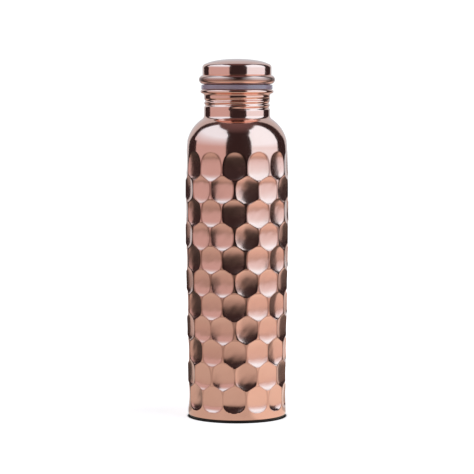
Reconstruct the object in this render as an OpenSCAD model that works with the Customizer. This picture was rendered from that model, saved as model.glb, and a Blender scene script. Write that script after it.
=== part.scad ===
// Hammered copper water bottle with a screw stopper.
// Origin: centre of the foot ring on the table, +Z up along the bottle's axis.
// The stopper is drawn screwed fully home.

/* [Bottle] */
// Radius of the wall at the foot
foot_r = 35.5; // [34:0.1:36.5]
// Radius of the straight upper wall over the hammered ridges
wall_r = 37.6; // [36.5:0.1:38.5]
// Height where the taper ends and the straight wall begins
taper_top = 130; // [110:1:150]
// Thickness of the copper sheet
sheet = 0.6; // [0.5:0.05:0.8]
// Outer radius of the neck
neck_r = 23.85; // [23.6:0.05:24.5]
// Height of the top of the rolled lip
lip_top = 237.3; // [236.8:0.1:238]

/* [Hammering] */
// Radius of the hammer's face
hammer_r = 34; // [30:1:40]
// Depth of each blow below the top of the ridges
blow_depth = 1.65; // [1.4:0.05:1.8]
// Blows in each ring
blows = 13; // [13:1:14]
// Rings of blows
rings = 11; // [9:1:11]
// Height of the lowest ring
ring_z = 15.9; // [15:0.1:17]
// Height from one ring to the next
ring_step = 16.72; // [16.5:0.01:16.75]
// Azimuth of the first blow of the top ring
ring_phase = -92.9; // [-106:0.1:-79]

/* [Thread] */
// Rise of the thread in one turn
pitch = 3.2; // [3:0.05:3.4]
// Turns of rolled thread in the neck
thread_turns = 2.3; // [1.5:0.1:2.3]
// Azimuth at which the threads begin
thread_start = -110; // [-120:5:-90]
// Depth of the rolled thread
thread_depth = 0.85; // [0.6:0.05:0.9]
// Height at which the neck's thread first crosses the +X side
thread_z = 224.4; // [224:0.1:224.8]
// Gap between the two threads
thread_gap = 0.3; // [0.25:0.05:0.4]

/* [Base] */
// Inner radius of the flat foot ring
foot_hole_r = 31.5; // [28:0.5:33]
// Height of the underside of the base plate
base_rise = 2.6; // [2:0.1:4]

/* [Stopper] */
// Outer radius of the stopper's skirt
skirt_r = 25; // [24.6:0.1:25.4]
// Outer radius of the knurled bead
bead_r = 27.5; // [27:0.1:28]
// Height of the crown of the stopper
crown_z = 259.5; // [258.5:0.1:261]
// Height of the lower edge of the threaded sleeve
plug_z = 222.5; // [221:0.5:222.5]
// Thickness of the rubber ring
gasket_h = 3.4; // [3:0.1:3.4]
// Outer radius of the rubber ring
gasket_r = 25.85; // [25:0.05:26.4]

/* [Hidden] */
$fn = 96;
// The wall
top_ring_z = ring_z + (rings - 1) * ring_step;
ridge_raise = 0.9;
straight_top = 163;
crest_z = 195.2;
crest_r = 36.5;
shoulder_r = 25;
fillet_r = 3;
foot_round = 1.5;
shoulder_c = [crest_r - shoulder_r, crest_z];
fillet_cr = neck_r + fillet_r;
fillet_cz = crest_z + sqrt(pow(shoulder_r + fillet_r, 2) - pow(fillet_cr - shoulder_c[0], 2));
join_a = atan2(fillet_cz - crest_z, fillet_cr - shoulder_c[0]);
// The lip
lip_tube = 1.4;
lip_z = lip_top - lip_tube;
lip_r = 26.5 - lip_tube;
mouth_r = lip_r - lip_tube + 0.05;
// The threads
neck_in = neck_r - sheet;
core_r = neck_in - thread_depth - thread_gap;
thread_run = 360 * thread_turns;
thread_low = thread_z + pitch * thread_start / 360;
// The stopper
seat_z = lip_top + 0.1;
flange_z = seat_z + gasket_h + 0.05;
flange_r = skirt_r - 0.1;
crimp_z = flange_z + 1.25;
crimp_r = bead_r - 2.1;
bead_round = 3.3;
bead_z = crimp_z + 2.4;
waist_r = min(skirt_r, bead_r - bead_round * (1 - cos(80)));
waist_z = bead_z + bead_round * sin(80);
corner_r = 3;
corner_z = crown_z - 3.4 - corner_r;

function wall_at(z) =
    z < taper_top ? foot_r + (wall_r - foot_r) * z / taper_top
    : z < straight_top ? wall_r
    : wall_r - (wall_r - crest_r) * pow((z - straight_top) / (crest_z - straight_top), 2);

function arc(c, r, a0, a1, n) =
    [for (i = [0:n]) let (a = a0 + (a1 - a0) * i / n) [c[0] + r * cos(a), c[1] + r * sin(a)]];

// Half outline of the bottle, moved inwards by `inset`
function outline(inset) = concat(
    [for (z = [8, 18, 50, taper_top, straight_top, 178, 184, 190, crest_z])
        [wall_at(z) - inset + (z > 10 && z < top_ring_z + 5 ? ridge_raise : 0), z]],
    arc(shoulder_c, shoulder_r - inset, 4, join_a, 14),
    arc([fillet_cr, fillet_cz], fillet_r + inset, 180 + join_a - 6, 180, 5)
);

// One ring of blows; `grow` moves the struck faces inwards
module ring_of_blows(k, grow) {
    z = top_ring_z - k * ring_step;
    axis_r = wall_at(z) - blow_depth + hammer_r;
    for (i = [0:blows - 1])
        rotate([0, 0, ring_phase + (k % 2) * 180 / blows + i * 360 / blows])
            translate([axis_r, 0, z])
                rotate([90, 0, 0])
                    cylinder(r = hammer_r + grow, h = 28, center = true, $fn = 144);
}

// The children struck by rings 0 to k, one ring after another
module hammered(k, grow) {
    if (k < 0)
        children();
    else
        difference() {
            hammered(k - 1, grow) children();
            ring_of_blows(k, grow);
        }
}

// A closed helical rib of three-cornered section that fades out at both ends.
// Its root is at radius r0 and its crest at r1; it climbs from z0 at thread_start
module helix_rib(r0, r1, half_root, half_crest, z0, run) {
    steps = ceil(run / 12);
    fade = 3;
    section = function (i)
        let (
            a = run * i / steps,
            f = min(1, (i + 0.3) / fade, (steps - i + 0.3) / fade),
            z = z0 + pitch * a / 360,
            rc = r0 + (r1 - r0) * f,
            hr = half_crest + (half_root - half_crest) * f
        )
        [for (p = [[r0, -hr], [rc, -half_crest], [rc, half_crest], [r0, hr]])
            [p[0] * cos(a), p[0] * sin(a), z + p[1]]];
    points = [for (i = [0:steps]) each section(i)];
    sides = [for (i = [0:steps - 1], j = [0:3])
        let (a = 4 * i + j, b = 4 * i + (j + 1) % 4)
        each [[a, b, b + 4], [a, b + 4, a + 4]]];
    ends = [[3, 2, 1], [3, 1, 0],
        [4 * steps, 4 * steps + 1, 4 * steps + 2], [4 * steps, 4 * steps + 2, 4 * steps + 3]];
    faces = concat(sides, ends);
    rotate([0, 0, thread_start])
        polyhedron(points, r1 > r0 ? faces : [for (f = faces) [f[2], f[1], f[0]]]);
}

// Outside of the drawn copper, solid right through
module body_outside() {
    rotate_extrude()
        union() {
            polygon(concat(
                [[0, 0]],
                arc([foot_r - foot_round, foot_round], foot_round, -90, 0, 4),
                outline(0),
                [[neck_r, 231], [neck_r + 0.65, 234.1], [lip_r, lip_z], [0, lip_z]]
            ));
            translate([lip_r, lip_z])
                circle(r = lip_tube, $fn = 48);
        }
}

// Space inside the drawn copper, open through the mouth
module body_inside() {
    rotate_extrude()
        polygon(concat(
            [[0, sheet], [foot_r - sheet - 0.7, sheet], [foot_r - sheet, foot_round]],
            outline(sheet),
            [[neck_in, 231], [mouth_r, 234.1], [mouth_r, lip_top + 1], [0, lip_top + 1]]
        ));
}

// Drawn and hammered copper, with the rolled thread and lip and the turned-in foot
module bottle_body() {
    color("#b87a5c")
        difference() {
            union() {
                difference() {
                    hammered(rings - 1, 0) body_outside();
                    hammered(rings - 1, sheet) body_inside();
                }
                helix_rib(neck_in + 0.35, neck_in - thread_depth, 1.35, 0.3, thread_low, thread_run);
            }
            helix_rib(neck_r + 0.5, neck_r - thread_depth, 1.45, 0.3, thread_low, thread_run);
            translate([0, 0, -1])
                cylinder(r = foot_hole_r, h = 1 + 2 * sheet);
        }
}

// Pressed disc closing the foot, its rim standing on the turned-in edge
module base_plate() {
    rim_r = foot_r - sheet - 0.75;
    color("#a5694d")
        rotate_extrude()
            polygon([
                [0, base_rise + 0.8], [rim_r - 6, base_rise], [rim_r - sheet, base_rise],
                [rim_r - sheet, sheet], [rim_r, sheet], [rim_r, base_rise + sheet],
                [rim_r - 6, base_rise + sheet], [0, base_rise + 0.8 + sheet]
            ]);
}

// Silicone ring between the lip and the stopper
module cap_gasket() {
    edge = 0.5;
    in_r = core_r + 0.3;
    color("#b9aeb8")
        translate([0, 0, seat_z])
            rotate_extrude()
                polygon([
                    [in_r, 0], [gasket_r - edge, 0], [gasket_r, edge],
                    [gasket_r, gasket_h - edge], [gasket_r - edge, gasket_h], [in_r, gasket_h]
                ]);
}

// Open sleeve with the stopper's thread; its stepped flange is held in the bead
module cap_plug() {
    in_r = core_r - sheet;
    color("#c08263")
        union() {
            rotate_extrude()
                polygon([
                    [in_r, plug_z], [core_r - 0.3, plug_z], [core_r, plug_z + 0.3],
                    [core_r, flange_z], [flange_r, flange_z], [flange_r, crimp_z],
                    [crimp_r, crimp_z], [crimp_r, crimp_z + sheet],
                    [flange_r - sheet, crimp_z + sheet], [flange_r - sheet, flange_z + sheet],
                    [in_r, flange_z + sheet]
                ]);
            helix_rib(
                core_r - 0.35, neck_in - thread_gap, 1.1, 0.3, thread_low + pitch / 2, thread_run - 180
            );
        }
}

// Height of the crown at radius r
function crown_at(r) = crown_z - r * r / 190 - 0.7 * pow(r / 22, 8);

// Half outline of the stopper's shell above the crimp, moved inwards by `inset`.
// The inside follows the waist over the bead, so that the sheet is nowhere thinner there
function shell_outline(inset, from) = concat(
    arc([bead_r - bead_round, bead_z], bead_round - inset, from, inset > 0 ? 60 : 80, 14),
    inset > 0 ? [[waist_r - inset, waist_z - 0.2], [waist_r - inset, waist_z + 0.3]] : [],
    [[skirt_r - inset, waist_z + 0.3 + inset]],
    arc([skirt_r - corner_r, corner_z], corner_r - inset, 0, 80, 6),
    [for (i = [6:-1:0]) let (r = 22 * i / 7) [r, crown_at(r) - inset]]
);

// Domed cap with its hollow knurled bead turned in under the plug's flange
module cap_shell() {
    color("#bd7e60")
        rotate_extrude()
            difference() {
                polygon(concat([[0, bead_z - bead_round * sin(75)]], shell_outline(0, -75)));
                polygon(concat([[0, crimp_z], [crimp_r + 0.1, crimp_z]], shell_outline(sheet, -50)));
                translate([-1, crimp_z - 2])
                    square([flange_r + 1.05, 3]);
            }
}

bottle_body();
base_plate();
cap_gasket();
cap_plug();
cap_shell();
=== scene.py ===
import math

import bmesh
import bpy
import numpy as np
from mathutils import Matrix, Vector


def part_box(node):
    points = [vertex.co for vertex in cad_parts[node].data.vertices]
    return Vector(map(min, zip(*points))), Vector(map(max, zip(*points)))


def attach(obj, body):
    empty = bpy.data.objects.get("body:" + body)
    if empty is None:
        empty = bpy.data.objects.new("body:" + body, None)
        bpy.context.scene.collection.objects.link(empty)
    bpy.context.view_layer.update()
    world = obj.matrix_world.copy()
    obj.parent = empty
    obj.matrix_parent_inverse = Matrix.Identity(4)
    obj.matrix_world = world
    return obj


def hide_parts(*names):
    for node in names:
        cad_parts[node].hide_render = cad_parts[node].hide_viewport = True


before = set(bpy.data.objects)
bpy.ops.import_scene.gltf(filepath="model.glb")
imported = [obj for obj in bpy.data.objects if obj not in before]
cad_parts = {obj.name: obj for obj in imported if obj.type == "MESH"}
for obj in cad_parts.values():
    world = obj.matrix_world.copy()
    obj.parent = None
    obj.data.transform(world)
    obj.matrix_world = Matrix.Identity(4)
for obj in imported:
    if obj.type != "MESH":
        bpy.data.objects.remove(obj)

MM = 0.001
TAU = 2 * math.pi


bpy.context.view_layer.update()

# ---------------------------------------------------------------- sizes, in mm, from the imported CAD
_, body_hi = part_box("bottle_body")
shell_lo, shell_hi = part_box("cap_shell")
plug_lo, plug_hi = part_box("cap_plug")
ring_lo, ring_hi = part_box("cap_gasket")
LIP_TOP = body_hi.z / MM
CROWN = shell_hi.z / MM
BEAD_LOW = shell_lo.z / MM
BEAD_R = shell_hi.x / MM
PLUG_LOW = plug_lo.z / MM
PLUG_HIGH = plug_hi.z / MM
RING_LOW, RING_HIGH, RING_R = ring_lo.z / MM, ring_hi.z / MM, ring_hi.x / MM

# the part's other sizes, in mm, as in its source
FOOT_R, FOOT_IN = 35.5, 31.5
WALL_R = 37.6
TAPER_TOP, STRAIGHT_TOP = 130.0, 163.0
CREST_Z, CREST_R, SHOULDER_R, FILLET_R = 195.2, 36.5, 25.0, 3.0
NECK_R = 23.85
LIP_R, LIP_TUBE = 26.5, 1.4
SHEET = 0.6
RINGS, BLOWS, RING_Z, RING_STEP, PHASE = 11, 13, 15.9, 16.72, math.radians(-92.9)
PITCH = 3.2
THREAD_Z = 224.4
THREAD_TURNS = 2.3
THREAD_START = math.radians(-110)
THREAD_LOW = THREAD_Z + PITCH * THREAD_START / TAU
THREAD_DEPTH, THREAD_GAP = 0.85, 0.3
SKIRT_R = 25.0
BEAD_ROUND, CORNER_R = 3.3, 3.0

# sizes that only the visual has, or has its own way, in mm
FOOT_SHADOW_IN, FOOT_SHADOW_TOP = 33.5, 1.65  # the painted shadow line, near-black, between the foot and the ground
LAND_DEPTH = 0.19  # how deep the sheet lies where no blow has struck it
BLOW_DEPTH = 1.88
BLOW_R, BLOW_RZ = 58, 80  # radius of a blow's floor from side to side, and up and down
BLOW_RIM = 1.1e-6  # how fast a blow's floor turns up at its edge
BLOW_REACH = 13.5  # a blow changes nothing further than this above or below its middle
RIDGE_BLEND, RIDGE_WIDTH = 0.22, 0.24
RIPPLES = 7
CRIMP_R = 24.95  # where the bead's edge turns in under the plug's flange
KNURLS, KNURL_DEPTH, KNURL_RISE = 100, 0.11, 1.6
FLANGE_R, FLANGE_IN, COLLAR_R = 24.4, 23.8, 25.35  # the plug's flange and the collar on it
SLEEVE = 0.6
RING_IN = 22.4

rng = np.random.default_rng(7)


# ---------------------------------------------------------------- mesh helpers
def smooth(x, a, b):
    t = np.clip((x - a) / (b - a), 0, 1)
    return t * t * (3 - 2 * t)


def smin(a, b, k):
    h = np.maximum(k - np.abs(a - b), 0) / k
    return np.minimum(a, b) - h * h * k * 0.25


def resample(points, step):
    """Points along a polyline, none further apart than step (a number, or one for each stretch)."""
    out = [points[0]]
    for i, (a, b) in enumerate(zip(points, points[1:])):
        s = step[i] if isinstance(step, (list, tuple)) else step
        n = max(1, math.ceil(math.dist(a, b) / s - 1e-6))
        out += [(a[0] + (b[0] - a[0]) * j / n, a[1] + (b[1] - a[1]) * j / n) for j in range(1, n + 1)]
    return out


def arc(cx, cz, r, a0, a1, n):
    angles = [math.radians(a0 + (a1 - a0) * i / n) for i in range(n + 1)]
    return [(cx + r * math.cos(a), cz + r * math.sin(a)) for a in angles]


def round_grid(profile, cols, relief):
    """Points and normals, in mm, of a profile turned about Z, its radius changed by relief(r, z, azimuth)."""
    p = np.array(profile, float)
    az = np.arange(cols) * TAU / cols
    tangent = np.gradient(p, axis=0)
    tangent /= np.maximum(np.linalg.norm(tangent, axis=1, keepdims=True), 1e-9)

    def at(ds, da):
        r = p[:, :1] + tangent[:, :1] * ds
        z = p[:, 1:] + tangent[:, 1:] * ds
        a = az[None, :] + da / np.maximum(p[:, :1], 2.0)
        r, z, a = np.broadcast_arrays(r, z, a)
        r = r + (relief(r, z, a) if relief else 0)
        return np.stack([r * np.cos(a), r * np.sin(a), z], axis=-1)

    e = 0.12
    points = at(0, 0)
    normals = np.cross(at(0, e) - at(0, -e), at(e, 0) - at(-e, 0))
    normals /= np.maximum(np.linalg.norm(normals, axis=-1, keepdims=True), 1e-12)
    return points, normals


def build(name, grids, loop=False):
    """One mesh from grids that follow each other. Each grid has the columns of the last, or half as many.
    A first or last row at radius 0 becomes a pole, and loop joins the last row to the first."""
    verts, norms, faces, rows = [], [], [], []
    for points, normals in grids:
        for i in range(len(points)):
            ring = points[i]
            if np.hypot(ring[:, 0], ring[:, 1]).max() < 1e-6:
                ring, nrm = ring[:1], normals[i][:1]
            else:
                nrm = normals[i]
            rows.append((len(verts), len(ring)))
            verts += list(ring)
            norms += list(nrm)
    pairs = list(zip(rows, rows[1:])) + ([(rows[-1], rows[0])] if loop else [])
    for (a, na), (b, nb) in pairs:
        if na == nb:
            faces += [(a + j, a + (j + 1) % na, b + (j + 1) % na, b + j) for j in range(na)]
        elif na == 1:
            faces += [(a, b + (j + 1) % nb, b + j) for j in range(nb)]
        elif nb == 1:
            faces += [(a + j, a + (j + 1) % na, b) for j in range(na)]
        elif na == 2 * nb:
            for j in range(nb):
                faces.append((a + 2 * j, a + 2 * j + 1, b + j))
                faces.append((a + 2 * j + 1, a + (2 * j + 2) % na, b + (j + 1) % nb, b + j))
        else:
            for j in range(na):
                faces.append((a + j, b + (2 * j + 1) % nb, b + 2 * j))
                faces.append((a + j, a + (j + 1) % na, b + (2 * j + 2) % nb, b + (2 * j + 1) % nb))
    mesh = bpy.data.meshes.new(name)
    mesh.from_pydata([tuple(v * MM) for v in verts], [], faces)
    mesh.update()
    mesh.polygons.foreach_set("use_smooth", [True] * len(mesh.polygons))
    bm = bmesh.new()
    bm.from_mesh(mesh)
    bmesh.ops.recalc_face_normals(bm, faces=bm.faces)
    bm.to_mesh(mesh)
    bm.free()
    n = np.array(norms) * (1 if np.mean(facing(mesh, norms)) > 0 else -1)
    mesh.normals_split_custom_set_from_vertices([tuple(v) for v in n])
    obj = bpy.data.objects.new(name, mesh)
    bpy.context.scene.collection.objects.link(obj)
    return obj


def facing(mesh, norms):
    """How far each listed normal agrees with the mesh's own at that point."""
    own = np.zeros(len(mesh.vertices) * 3)
    mesh.vertices.foreach_get("normal", own)
    return (own.reshape(-1, 3) * np.array(norms)).sum(1)


# ---------------------------------------------------------------- the hammered wall
def wall_at(z):
    z = np.asarray(z, float)
    cone = FOOT_R + (WALL_R - FOOT_R) * np.clip(z, 0, TAPER_TOP) / TAPER_TOP
    top = np.clip((z - STRAIGHT_TOP) / (CREST_Z - STRAIGHT_TOP), 0, 1)
    return cone - (WALL_R - CREST_R) * top**2


# small changes for each blow: azimuth (rad), height, depth, the floor's two radii (mm), two slopes
JITTER = (0.005, 0.2, 0.08, 3.0, 4.0, 0.014, 0.012)
ring_jitter = np.clip(rng.normal(0, 1, (RINGS, BLOWS, len(JITTER))), -1.8, 1.8) * JITTER

# faint waves in the sheet: waves round the bottle, slope, start and height
ripples = [
    (int(rng.integers(8, 34)), rng.uniform(-0.75, 0.75), rng.uniform(0, TAU), rng.uniform(0.006, 0.013))
    for _ in range(RIPPLES)
]


def hammering(z, a):
    """Outer radius of the hammered wall at height z and azimuth a, and how near a ridge each point is."""
    r = wall_at(z) - LAND_DEPTH
    first, second = r.copy(), np.full_like(r, 99.0)
    for k in range(RINGS):
        zk = RING_Z + (RINGS - 1 - k) * RING_STEP
        near = np.abs(z - zk) < BLOW_REACH
        if not near.any():
            continue
        zz, aa = z[near], a[near]
        rr, one, two = r[near], first[near], second[near]
        step = TAU / BLOWS
        phase = PHASE + (k % 2) * step / 2
        m = np.round((aa - phase) / step)
        base = float(wall_at(zk))
        lean = (WALL_R - FOOT_R) / TAPER_TOP if zk < TAPER_TOP else 0.0
        for dm in (-1, 0, 1):
            mm = m + dm
            j = ring_jitter[k][mm.astype(int) % BLOWS]
            da = aa - phase - mm * step - j[..., 0]
            w = zz - zk - j[..., 1]
            u = base * np.sin(da)
            depth = BLOW_DEPTH + j[..., 2]
            q = u * u / (2 * (BLOW_R + j[..., 3])) + w * w / (2 * (BLOW_RZ + j[..., 4]))
            # the top ring's blows reach higher, and the bottom ring's end sooner, than the others
            ends = np.where((w < 0) & (k == RINGS - 1), 1.8, 1.0)
            rim = BLOW_RIM * np.where((w > 0) & (k == 0), 0.53, ends)
            q = q + rim * (w * w + 0.25 * u * u) ** 3
            q = q + j[..., 5] * u + j[..., 6] * w
            cut = (base + lean * w - depth + q) / np.maximum(np.cos(da), 0.3)
            rr = smin(rr, cut, RIDGE_BLEND)
            two = np.minimum(two, np.maximum(one, cut))
            one = np.minimum(one, cut)
        r[near], first[near], second[near] = rr, one, two
    fade = smooth(z, 9, 18) * (1 - smooth(z, 178, 188))
    for around, up, start, size in ripples:
        r = r + fade * size * np.sin(around * a + up * z + start)
    return r, np.exp(-(((second - first) / RIDGE_WIDTH) ** 2))


def thread_wave(z, a, low, turns, half):
    """0 to 1 across a rounded, right-handed thread that starts at height low and fades at both ends."""
    out = np.zeros_like(z)
    for turn in range(math.ceil(turns)):
        run = ((a - THREAD_START) % TAU) / TAU + turn
        live = smooth(run, 0.0, 0.1) * (1 - smooth(run, turns - 0.1, turns))
        d = np.clip((z - low - PITCH * run) / half, -1, 1)
        out = np.maximum(out, live * (0.5 + 0.5 * np.cos(d * math.pi)))
    return out


def body_relief(r, z, a):
    """The hammering and the neck's thread; the sheet's outside and inside take the same change."""
    wall = (z > 2.0) & (z < 200)
    out = np.zeros_like(r)
    if wall.any():
        out[wall] = (hammering(z[wall], a[wall])[0] - wall_at(z[wall])) * smooth(z[wall], 2.4, 8.5)
    neck = (z > 220) & (z < 234)
    if neck.any():
        out[neck] -= THREAD_DEPTH * thread_wave(z[neck], a[neck], THREAD_LOW, THREAD_TURNS, PITCH / 2)
    return out


def profile_wall(inset, low, high, step):
    """The unstruck wall's outline, from height low to high, inset by so much."""
    n = math.ceil((high - low) / step)
    zs = [low + (high - low) * i / n for i in range(n + 1)]
    return [(float(wall_at(z)) - inset, z) for z in zs]


# centres of the shoulder's and the fillet's arcs, and the angle at which they meet
cx = CREST_R - SHOULDER_R
fcr = NECK_R + FILLET_R
fcz = CREST_Z + math.sqrt((SHOULDER_R + FILLET_R) ** 2 - (fcr - cx) ** 2)
join = math.degrees(math.atan2(fcz - CREST_Z, fcr - cx))
lip_z, lip_r = LIP_TOP - LIP_TUBE, LIP_R - LIP_TUBE
neck_in = NECK_R - SHEET

outer = (
    [(FOOT_IN, 0.0), (33.4, 0.0)]
    + arc(FOOT_R - 1.3, 0.9, 0.9, -90, 0, 5)
    + [(FOOT_R - 0.4, 1.5), (FOOT_R - 0.1, FOOT_SHADOW_TOP)]
    + profile_wall(0, 1.9, CREST_Z, 0.72)
    + arc(cx, CREST_Z, SHOULDER_R, 2.5, join, 24)
    + arc(fcr, fcz, FILLET_R, 180 + join - 8, 180, 7)
    + resample([(NECK_R, fcz + 0.5), (NECK_R, 232.6)], 0.42)
    + [(NECK_R + 0.02, 233.0), (NECK_R + 0.12, 233.5), (NECK_R + 0.38, 233.95), (lip_r - 0.25, 234.42)]
    + arc(lip_r, lip_z, LIP_TUBE, -78, 175, 20)
)
inner = (
    [(lip_r - LIP_TUBE - 0.02, 234.6), (neck_in + 0.25, 233.4), (neck_in + 0.05, 232.2)]
    + resample([(neck_in, 231.2), (neck_in, fcz)], 0.6)
    + arc(fcr, fcz, FILLET_R + SHEET, 180, 180 + join - 8, 5)
    + arc(cx, CREST_Z, SHOULDER_R - SHEET, join, 3, 12)
    + list(reversed(profile_wall(SHEET, 3.0, CREST_Z, 4.6)))
    + [(FOOT_R - SHEET, 1.6), (FOOT_R - SHEET - 0.5, 0.9), (33.8, SHEET), (FOOT_IN, SHEET)]
)

bottle = build(
    "bottle_shell",
    [round_grid(outer, 432, body_relief), round_grid(inner, 216, body_relief)],
    loop=True,
)
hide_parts("bottle_body")
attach(bottle, "bottle")

# ---------------------------------------------------------------- the stopper's shell
bead_z = BEAD_LOW + BEAD_ROUND * math.sin(math.radians(75))
bead_c = BEAD_R - BEAD_ROUND
waist_r = bead_c + BEAD_ROUND * math.cos(math.radians(80))
corner_z = CROWN - 6.4


def crown_at(r):
    """Height of the dome at radius r."""
    return CROWN - r * r / 190 - 0.7 * (r / 22) ** 8


cap_outer = (
    [(CRIMP_R, BEAD_LOW + 0.3)]
    + arc(bead_c, bead_z, BEAD_ROUND, -74, -30, 12)
    + arc(bead_c, bead_z, BEAD_ROUND, -26, 42, 30)
    + arc(bead_c, bead_z, BEAD_ROUND, 46, 79, 8)
    + [(SKIRT_R - 0.28, bead_z + 3.36), (SKIRT_R - 0.12, bead_z + 3.47), (SKIRT_R, bead_z + 3.62)]
    + resample([(SKIRT_R, bead_z + 3.75), (SKIRT_R, corner_z - 0.1)], 0.8)
    + arc(SKIRT_R - CORNER_R, corner_z, CORNER_R, 0, 78, 14)
    + [(r, crown_at(r)) for r in [21.9, 21.3, 20.6, 19.8, 18.6, 17, 15, 12.5, 10, 7.5, 5, 2.5, 0]]
)
cap_inner = (
    [(r, crown_at(r) - SHEET) for r in [0, 4, 9, 13, 16.5, 19, 21, 22]]
    + arc(SKIRT_R - CORNER_R, corner_z, CORNER_R - SHEET, 72, 0, 6)
    + [(SKIRT_R - SHEET, bead_z + 4.15), (waist_r - SHEET, bead_z + 3.55), (waist_r - SHEET, bead_z + 3.05)]
    + arc(bead_c, bead_z, BEAD_ROUND - SHEET, 60, -48, 12)
    + [(25.4, BEAD_LOW + 0.8), (CRIMP_R, BEAD_LOW + 0.8)]
)


def knurl(r, z, a):
    """Diamond knurling pressed into the middle of the bead."""
    v = z - bead_z
    band = smooth(v, -1.5, -1.15) * (1 - smooth(v, 1.3, 1.7))
    q = TAU / KNURL_RISE
    one = 0.5 + 0.5 * np.cos(KNURLS * a + q * v)
    two = 0.5 + 0.5 * np.cos(KNURLS * a - q * v)
    bump = np.sqrt(one * two)
    return -KNURL_DEPTH * band * (1 - bump)


cap = build("cap_crown", [round_grid(cap_outer, 800, knurl)])
cap_in = build("cap_lining", [round_grid(cap_inner, 165, None)])
for piece in (cap, cap_in):
    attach(piece, "stopper")
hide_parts("cap_shell")

# ---------------------------------------------------------------- the plug
core_r = neck_in - THREAD_DEPTH - THREAD_GAP
flange_z = PLUG_HIGH - 1.85
plug_outer = (
    [(core_r - 0.45, PLUG_LOW), (core_r - 0.15, PLUG_LOW + 0.03), (core_r - 0.02, PLUG_LOW + 0.2)]
    + resample([(core_r, PLUG_LOW + 0.4), (core_r, flange_z - 0.4)], 0.35)
    + [(core_r + 0.1, flange_z - 0.1), (core_r + 0.4, flange_z)]
    + [(FLANGE_IN, flange_z), (FLANGE_R - 0.15, flange_z + 0.12)]
    + [(FLANGE_R, flange_z + 0.4), (FLANGE_R, flange_z + 1.2)]
    + [(COLLAR_R, flange_z + 1.27), (COLLAR_R, PLUG_HIGH - 0.05), (FLANGE_R - 0.1, PLUG_HIGH)]
)
plug_inner = (
    [(FLANGE_IN, flange_z + 1.2), (FLANGE_IN, flange_z + 0.6)]
    + [(core_r - SLEEVE / 2, flange_z + 0.6), (core_r - SLEEVE, flange_z + 0.2)]
    + resample([(core_r - SLEEVE, flange_z - 0.4), (core_r - SLEEVE, PLUG_LOW + 0.4)], 0.5)
    + [(core_r - SLEEVE + 0.02, PLUG_LOW + 0.1)]
)


def plug_thread(r, z, a):
    """The thread rolled through the sleeve, so that it shows inside as well."""
    wall = (r > core_r - SLEEVE - 0.05) & (r < core_r + 0.05) & (z > PLUG_LOW + 0.3) & (z < flange_z - 0.3)
    return 0.8 * wall * thread_wave(z, a, THREAD_LOW + PITCH / 2, THREAD_TURNS - 0.5, 1.15)


plug = build(
    "plug_sleeve",
    [round_grid(plug_outer, 240, plug_thread), round_grid(plug_inner, 120, plug_thread)],
    loop=True,
)
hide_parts("cap_plug")
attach(plug, "stopper")

# ---------------------------------------------------------------- the silicone ring
ring_tall = RING_HIGH - RING_LOW
ring_profile = (
    [(RING_IN + 0.05, RING_LOW + 0.25), (RING_IN + 0.3, RING_LOW + 0.02)]
    + resample([(RING_IN + 0.8, RING_LOW), (RING_R - 0.75, RING_LOW)], 0.7)
    + arc(RING_R - 0.7, RING_LOW + 0.7, 0.7, -80, -5, 5)
    + [(RING_R - 0.03, RING_LOW + ring_tall * 0.4), (RING_R - 0.05, RING_LOW + ring_tall * 0.6)]
    + arc(RING_R - 0.7, RING_HIGH - 0.7, 0.7, 5, 80, 5)
    + resample([(RING_R - 0.9, RING_HIGH), (RING_IN + 0.8, RING_HIGH)], 0.7)
    + [(RING_IN + 0.3, RING_HIGH - 0.02), (RING_IN + 0.05, RING_HIGH - 0.25)]
    + [(RING_IN + 0.02, RING_LOW + ring_tall / 2)]
)


def ring_wobble(r, z, a):
    """A soft ring's edge isn't quite round."""
    slow = 0.05 * (1 + np.sin(5 * a + 1.3)) * smooth(r, 24.5, 25.8)
    quick = 0.02 * (1 + np.sin(17 * a)) * smooth(r, 25, 25.8)
    return -slow - quick


gasket = build("silicone_ring", [round_grid(ring_profile, 192, ring_wobble)], loop=True)
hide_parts("cap_gasket")
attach(gasket, "seal")


# ---------------------------------------------------------------- materials
def material(name):
    m = bpy.data.materials.new(name)
    m.use_nodes = True
    nodes, links = m.node_tree.nodes, m.node_tree.links
    return m, nodes, links, nodes["Principled BSDF"]


def empty_material(name):
    m, nodes, links, _ = material(name)
    nodes.clear()
    return m, nodes, links


def noise(nodes, links, coord, scale, detail=3.0, rough=0.55, stretch=None):
    n = nodes.new("ShaderNodeTexNoise")
    n.inputs["Scale"].default_value = scale
    n.inputs["Detail"].default_value = detail
    n.inputs["Roughness"].default_value = rough
    source = coord
    if stretch:
        mapping = nodes.new("ShaderNodeMapping")
        mapping.inputs["Scale"].default_value = stretch
        links.new(coord, mapping.inputs["Vector"])
        source = mapping.outputs["Vector"]
    links.new(source, n.inputs["Vector"])
    return n.outputs["Fac"]


def ranged(nodes, links, value, low, high, a=0.3, b=0.7):
    r = nodes.new("ShaderNodeMapRange")
    r.inputs["From Min"].default_value = a
    r.inputs["From Max"].default_value = b
    r.inputs["To Min"].default_value = low
    r.inputs["To Max"].default_value = high
    links.new(value, r.inputs["Value"])
    return r.outputs["Result"]


def feed(links, socket, value):
    """Gives an input its value: another node's output, a number, or a colour of three numbers."""
    if isinstance(value, tuple):
        socket.default_value = (*value, 1)
    elif isinstance(value, (int, float)):
        socket.default_value = value
    else:
        links.new(value, socket)


def mixed(nodes, links, fac, a, b):
    """A mix of two colours."""
    m = nodes.new("ShaderNodeMix")
    m.data_type = "RGBA"
    links.new(fac, m.inputs[0])
    feed(links, m.inputs[6], a)
    feed(links, m.inputs[7], b)
    return m.outputs[2]


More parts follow.
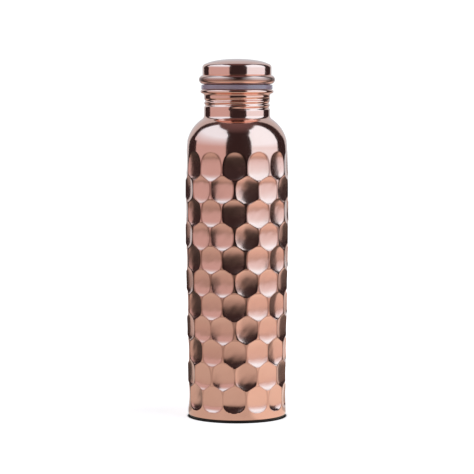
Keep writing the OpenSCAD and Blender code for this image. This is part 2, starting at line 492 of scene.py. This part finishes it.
def copper(name, bright, dull, rough, swing, brushed, bump, struck=0.0, painted_shade=False):
    """Polished copper: faint tarnish in broad patches and fine turning marks. Where the attribute
    "struck" is 1 it is rougher by struck, and where the attribute "grime" is 1 its colour is darkened as
    painted shade."""
    m, nodes, links, shader = material(name)
    coord = nodes.new("ShaderNodeTexCoord").outputs["Object"]
    patches = noise(nodes, links, coord, 38, 4)
    tone = mixed(nodes, links, ranged(nodes, links, patches, 0, 1), bright, dull)
    if painted_shade:
        # painted shade: the colour is mixed towards dark brown where the attribute is 1
        shade_mask = nodes.new("ShaderNodeAttribute")
        shade_mask.attribute_name = "painted_shade"
        tone = mixed(nodes, links, shade_mask.outputs["Fac"], tone, (0.2, 0.075, 0.05))
    links.new(tone, shader.inputs["Base Color"])
    shader.inputs["Metallic"].default_value = 1.0
    fine = noise(nodes, links, coord, 160, 3)
    level = ranged(nodes, links, fine, rough, rough + swing)
    if struck:
        face = nodes.new("ShaderNodeAttribute")
        face.attribute_name = "struck"
        more = nodes.new("ShaderNodeMath")
        more.operation = "MULTIPLY_ADD"
        more.inputs[1].default_value = struck
        links.new(face.outputs["Fac"], more.inputs[0])
        links.new(level, more.inputs[2])
        level = more.outputs[0]
    links.new(level, shader.inputs["Roughness"])
    marks = noise(nodes, links, coord, 60, 3, 0.6, brushed)
    b = nodes.new("ShaderNodeBump")
    b.inputs["Strength"].default_value = bump
    b.inputs["Distance"].default_value = 0.0002
    links.new(marks, b.inputs["Height"])
    links.new(b.outputs["Normal"], shader.inputs["Normal"])
    return m


hammered = copper(
    "hammered_copper", bright=(0.93, 0.545, 0.43), dull=(0.90, 0.515, 0.40),
    rough=0.09, swing=0.05, brushed=(2, 2, 6), bump=0.05, struck=0.06, painted_shade=True,
)
polished = copper(
    "cap_copper", bright=(0.93, 0.555, 0.445), dull=(0.90, 0.525, 0.41),
    rough=0.09, swing=0.05, brushed=(1, 1, 14), bump=0.06, painted_shade=True,
)
satin = copper(
    "plug_copper", bright=(0.90, 0.56, 0.45), dull=(0.84, 0.49, 0.37),
    rough=0.16, swing=0.1, brushed=(1, 1, 12), bump=0.15,
)
pressed = copper(
    "base_copper", bright=(0.86, 0.52, 0.41), dull=(0.74, 0.41, 0.3),
    rough=0.22, swing=0.14, brushed=(3, 3, 1), bump=0.25,
)

# painted shadow: a near-black, dull colour for the foot's lowest outer faces, where shade falls under the
# bottle
painted_foot_shadow, nodes, links, shader = material("foot_shadow_line")
coord = nodes.new("ShaderNodeTexCoord").outputs["Object"]
links.new(
    mixed(nodes, links, noise(nodes, links, coord, 400, 3), (0.008, 0.004, 0.003), (0.016, 0.007, 0.005)),
    shader.inputs["Base Color"],
)
shader.inputs["Metallic"].default_value = 0.0
links.new(ranged(nodes, links, noise(nodes, links, coord, 300, 2), 0.45, 0.6), shader.inputs["Roughness"])
shader.inputs["Specular IOR Level"].default_value = 0.2

rubber, nodes, links, shader = material("silicone")
coord = nodes.new("ShaderNodeTexCoord").outputs["Object"]
cloudy = noise(nodes, links, coord, 90, 4)
links.new(
    mixed(nodes, links, ranged(nodes, links, cloudy, 0, 1), (0.50, 0.35, 0.385), (0.42, 0.29, 0.325)),
    shader.inputs["Base Color"],
)
links.new(ranged(nodes, links, noise(nodes, links, coord, 500, 3), 0.14, 0.24), shader.inputs["Roughness"])
shader.inputs["Specular IOR Level"].default_value = 0.7
shader.inputs["Subsurface Weight"].default_value = 0.3
shader.inputs["Subsurface Radius"].default_value = (0.003, 0.0022, 0.003)
shader.inputs["Subsurface Scale"].default_value = 0.5
grain = nodes.new("ShaderNodeBump")
grain.inputs["Strength"].default_value = 0.2
grain.inputs["Distance"].default_value = 0.0001
links.new(noise(nodes, links, coord, 900, 2), grain.inputs["Height"])
links.new(grain.outputs["Normal"], shader.inputs["Normal"])


def paint(obj, *mats):
    obj.data.materials.clear()
    for m in mats:
        obj.data.materials.append(m)


def mark(obj, name, values):
    obj.data.attributes.new(name, "FLOAT", "POINT").data.foreach_set("value", values.astype(np.float32))


def points_of(obj):
    """Radius, height and azimuth of each vertex, in mm and radians."""
    co = np.zeros(len(obj.data.vertices) * 3)
    obj.data.vertices.foreach_get("co", co)
    x, y, z = co.reshape(-1, 3).T / MM
    return np.hypot(x, y), z, np.arctan2(y, x)


# faces of the blows are struck; the ridges between blows, more on the upper rows, and the grooves of the
# knurling get painted shade
pr, pz, pa = points_of(bottle)
on_wall = smooth(pz, 4, 7) * (1 - smooth(pz, 190, 194))
mark(bottle, "struck", smooth(wall_at(pz) - pr, 0.3, 0.9) * on_wall)
mark(bottle, "painted_shade", (0.3 + 0.45 * smooth(pz, 20, 120)) * hammering(pz, pa)[1] * on_wall)
pr, pz, pa = points_of(cap)
# painted shade in the knurl grooves of the bead
mark(cap, "painted_shade", np.clip(-knurl(pr, pz, pa) / KNURL_DEPTH, 0, 1) * 0.8 * (pr > SKIRT_R + 0.6))
paint(bottle, hammered, painted_foot_shadow)
# the foot's lowest outer faces take the painted shadow
for f in bottle.data.polygons:
    c = f.center
    if c.z < FOOT_SHADOW_TOP * MM and math.hypot(c.x, c.y) > FOOT_SHADOW_IN * MM:
        f.material_index = 1
paint(cap, polished)
paint(cap_in, satin)
paint(plug, satin)
paint(gasket, rubber)
paint(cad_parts["base_plate"], pressed)
for n in ("bottle_body", "cap_shell", "cap_plug"):
    paint(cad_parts[n], satin)
paint(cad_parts["cap_gasket"], rubber)


# ---------------------------------------------------------------- the studio
def glow(name, low, high, z0, z1):
    """Light that changes from one colour at height z0 to another at z1, in metres."""
    m, nodes, links = empty_material(name)
    split = nodes.new("ShaderNodeSeparateXYZ")
    links.new(nodes.new("ShaderNodeTexCoord").outputs["Object"], split.inputs[0])
    e = nodes.new("ShaderNodeEmission")
    links.new(
        mixed(nodes, links, ranged(nodes, links, split.outputs["Z"], 0, 1, z0, z1), low, high),
        e.inputs["Color"],
    )
    out = nodes.new("ShaderNodeOutputMaterial")
    links.new(e.outputs[0], out.inputs["Surface"])
    return m


def screen(name, radius, psi, low, high, mat):
    """A curved upright screen round the origin. psi is measured from the camera's side, positive to
    the right; low and high give its edges' elevations at each of those azimuths."""
    n = 160
    verts, faces = [], []
    for i in range(n + 1):
        p = psi[0] + (psi[-1] - psi[0]) * i / n
        lo, hi = np.interp(p, psi, low), np.interp(p, psi, high)
        x, y = radius * math.sin(math.radians(p)), -radius * math.cos(math.radians(p))
        for e in (lo, hi):
            verts.append((x, y, max(0.003, radius * math.tan(math.radians(e)))))
    for i in range(n):
        faces.append((2 * i, 2 * i + 2, 2 * i + 3, 2 * i + 1))
    mesh = bpy.data.meshes.new(name)
    mesh.from_pydata(verts, [], faces)
    obj = bpy.data.objects.new(name, mesh)
    bpy.context.scene.collection.objects.link(obj)
    mesh.materials.append(mat)
    obj.visible_camera = False


screen(
    "left_softbox", 1.25, [-118, -108, -106, -103, -40, -27, -25], [22, 22, 0, 0, 0, 0, 0],
    [40, 62, 65, 66, 62, 50, 48], glow("left_light", (0.63, 0.555, 0.60), (0.94, 1.42, 1.85), 0.33, 1.1),
)
screen(
    "right_softbox", 1.25, [33, 36, 48, 97, 104, 107], [0, 0, 0, 0, 0, 20],
    [48, 50, 62, 66, 62, 55], glow("right_light", (0.85, 0.92, 1.06), (1.05, 1.56, 1.98), 0.05, 0.46),
)
screen(
    "white_backdrop", 1.35, [136, 140, 147, 151, 211, 215, 222, 226], [24, 20, 8, 0, 0, 8, 20, 24],
    [56, 60, 62, 62, 62, 62, 60, 56], glow("backdrop_light", (0.62, 0.7, 0.76), (0.58, 0.66, 0.74), 0.2, 1.2),
)

bpy.ops.mesh.primitive_circle_add(vertices=128, radius=2.4, fill_type="NGON", location=(0, 0, 0))
floor = bpy.context.object
floor.name = "floor"
m, nodes, links = empty_material("pale_floor")
coord = nodes.new("ShaderNodeTexCoord").outputs["Object"]
length = nodes.new("ShaderNodeVectorMath")
length.operation = "LENGTH"
links.new(coord, length.inputs[0])
split = nodes.new("ShaderNodeSeparateXYZ")
links.new(coord, split.inputs[0])
to_camera = nodes.new("ShaderNodeLightPath").outputs["Is Camera Ray"]


def sums(operation, a, b):
    """A Math node on two outputs or numbers."""
    node = nodes.new("ShaderNodeMath")
    node.operation = operation
    feed(links, node.inputs[0], a)
    feed(links, node.inputs[1], b)
    return node.outputs[0]


def eased(value, a, b, low, high):
    """low where value is at a or before it, high at b or past it, and a smooth step between."""
    node = nodes.new("ShaderNodeMapRange")
    node.interpolation_type = "SMOOTHSTEP"
    for name, x in zip(("From Min", "From Max", "To Min", "To Max"), (a, b, low, high)):
        node.inputs[name].default_value = x
    links.new(value, node.inputs["Value"])
    return node.outputs["Result"]


def by_ray(copper_sees, camera_sees):
    """One number for the camera's own rays and another for all others."""
    node = nodes.new("ShaderNodeMix")
    node.data_type = "FLOAT"
    links.new(to_camera, node.inputs[0])
    feed(links, node.inputs[2], copper_sees)
    feed(links, node.inputs[3], camera_sees)
    return node.outputs[0]


# the copper sees the floor's painted light: bright at the sides and behind, falling into the dark in front;
# reach is the distance from the axis in metres, back and right are the direction's two parts
reach = sums("MAXIMUM", length.outputs["Value"], 0.001)
back = sums("DIVIDE", split.outputs["Y"], reach)
right = sums("DIVIDE", split.outputs["X"], reach)
ahead = eased(back, -0.93, -0.84, 1, 0)
gap = sums("MULTIPLY", eased(back, 0.24, 0.32, 0, 1), eased(back, 0.68, 0.78, 1, 0))
gap = sums("MULTIPLY", gap, eased(reach, 0.05, 0.2, 0.45, 1))
gap = sums("MULTIPLY", gap, eased(right, -0.5, 0.5, 0.92, 0.85))
side = eased(right, -0.8, 0.8, 0.53, 0.78)
side = sums("MULTIPLY", side, sums("SUBTRACT", 1, gap))
side = sums("MULTIPLY", side, eased(reach, 0.42, 1.0, 1, 0.62))
side = sums("MULTIPLY", side, eased(reach, 0.05, 0.3, 1.12, 1))
front = eased(reach, 0.08, 0.85, 0.6, 0.03)
beside = sums("MULTIPLY", sums("SUBTRACT", 1, ahead), side)
seen_by_copper = sums("ADD", sums("MULTIPLY", ahead, front), beside)
# the camera sees white paper with a painted soft shadow that leans to the left and a painted dark contact
# shadow at the foot
leaning = sums("ADD", reach, sums("MULTIPLY", right, 0.018))
contact = eased(sums("ADD", reach, sums("MULTIPLY", back, 0.0025)), 0.0352, 0.037, 0, 1)
seen_by_camera = sums("MULTIPLY", eased(leaning, 0.04, 0.28, 0.66, 1.05), contact)
albedo = by_ray(0.04, sums("MULTIPLY", contact, 0.85))
grain = noise(nodes, links, coord, 30, 2)
diffuse = nodes.new("ShaderNodeBsdfDiffuse")
links.new(mixed(nodes, links, albedo, (0, 0, 0), (1, 0.84, 0.76)), diffuse.inputs["Color"])
links.new(ranged(nodes, links, grain, 0.2, 0.3), diffuse.inputs["Roughness"])
lift = nodes.new("ShaderNodeEmission")
links.new(by_ray(seen_by_copper, seen_by_camera), lift.inputs["Strength"])
warm = mixed(nodes, links, eased(reach, 0.1, 0.5, 0, 1), (1, 0.94, 0.87), (1, 0.87, 0.82))
links.new(mixed(nodes, links, to_camera, warm, (1, 1, 1)), lift.inputs["Color"])
both = nodes.new("ShaderNodeAddShader")
links.new(diffuse.outputs[0], both.inputs[0])
links.new(lift.outputs[0], both.inputs[1])
out = nodes.new("ShaderNodeOutputMaterial")
links.new(both.outputs[0], out.inputs["Surface"])
floor.data.materials.append(m)

# the sky is white to the camera, and dark with a faint glow overhead to the copper
world = bpy.data.worlds.new("studio")
bpy.context.scene.world = world
world.use_nodes = True
nodes, links = world.node_tree.nodes, world.node_tree.links
nodes.clear()
to_camera = nodes.new("ShaderNodeLightPath").outputs["Is Camera Ray"]
upward = nodes.new("ShaderNodeSeparateXYZ")
links.new(nodes.new("ShaderNodeTexCoord").outputs["Generated"], upward.inputs[0])
overhead = ranged(nodes, links, upward.outputs["Z"], 0.035, 0.16, 0.78, 1.0)
level = nodes.new("ShaderNodeMapRange")
level.inputs["To Max"].default_value = 1.1
links.new(overhead, level.inputs["To Min"])
links.new(to_camera, level.inputs["Value"])
sky = nodes.new("ShaderNodeBackground")
links.new(mixed(nodes, links, to_camera, (1, 0.72, 0.82), (1, 1, 1)), sky.inputs["Color"])
links.new(level.outputs["Result"], sky.inputs["Strength"])
out = nodes.new("ShaderNodeOutputWorld")
links.new(sky.outputs[0], out.inputs["Surface"])

bpy.context.scene.view_settings.view_transform = "Standard"
bpy.context.scene.view_settings.look = "None"

# the camera fitted to the photograph, in metres, degrees and mm of film
EYE, EYE_DOWN = (0, -1.477, 0.242), 4.32
LENS, FILM_WIDTH = 154.8, 36
camera_data = bpy.data.cameras.new("camera")
camera_data.sensor_width = FILM_WIDTH
camera_data.lens = LENS
camera = bpy.data.objects.new("camera", camera_data)
camera.location = EYE
camera.rotation_euler = (math.radians(90 - EYE_DOWN), 0, 0)
bpy.context.scene.collection.objects.link(camera)
bpy.context.scene.camera = camera
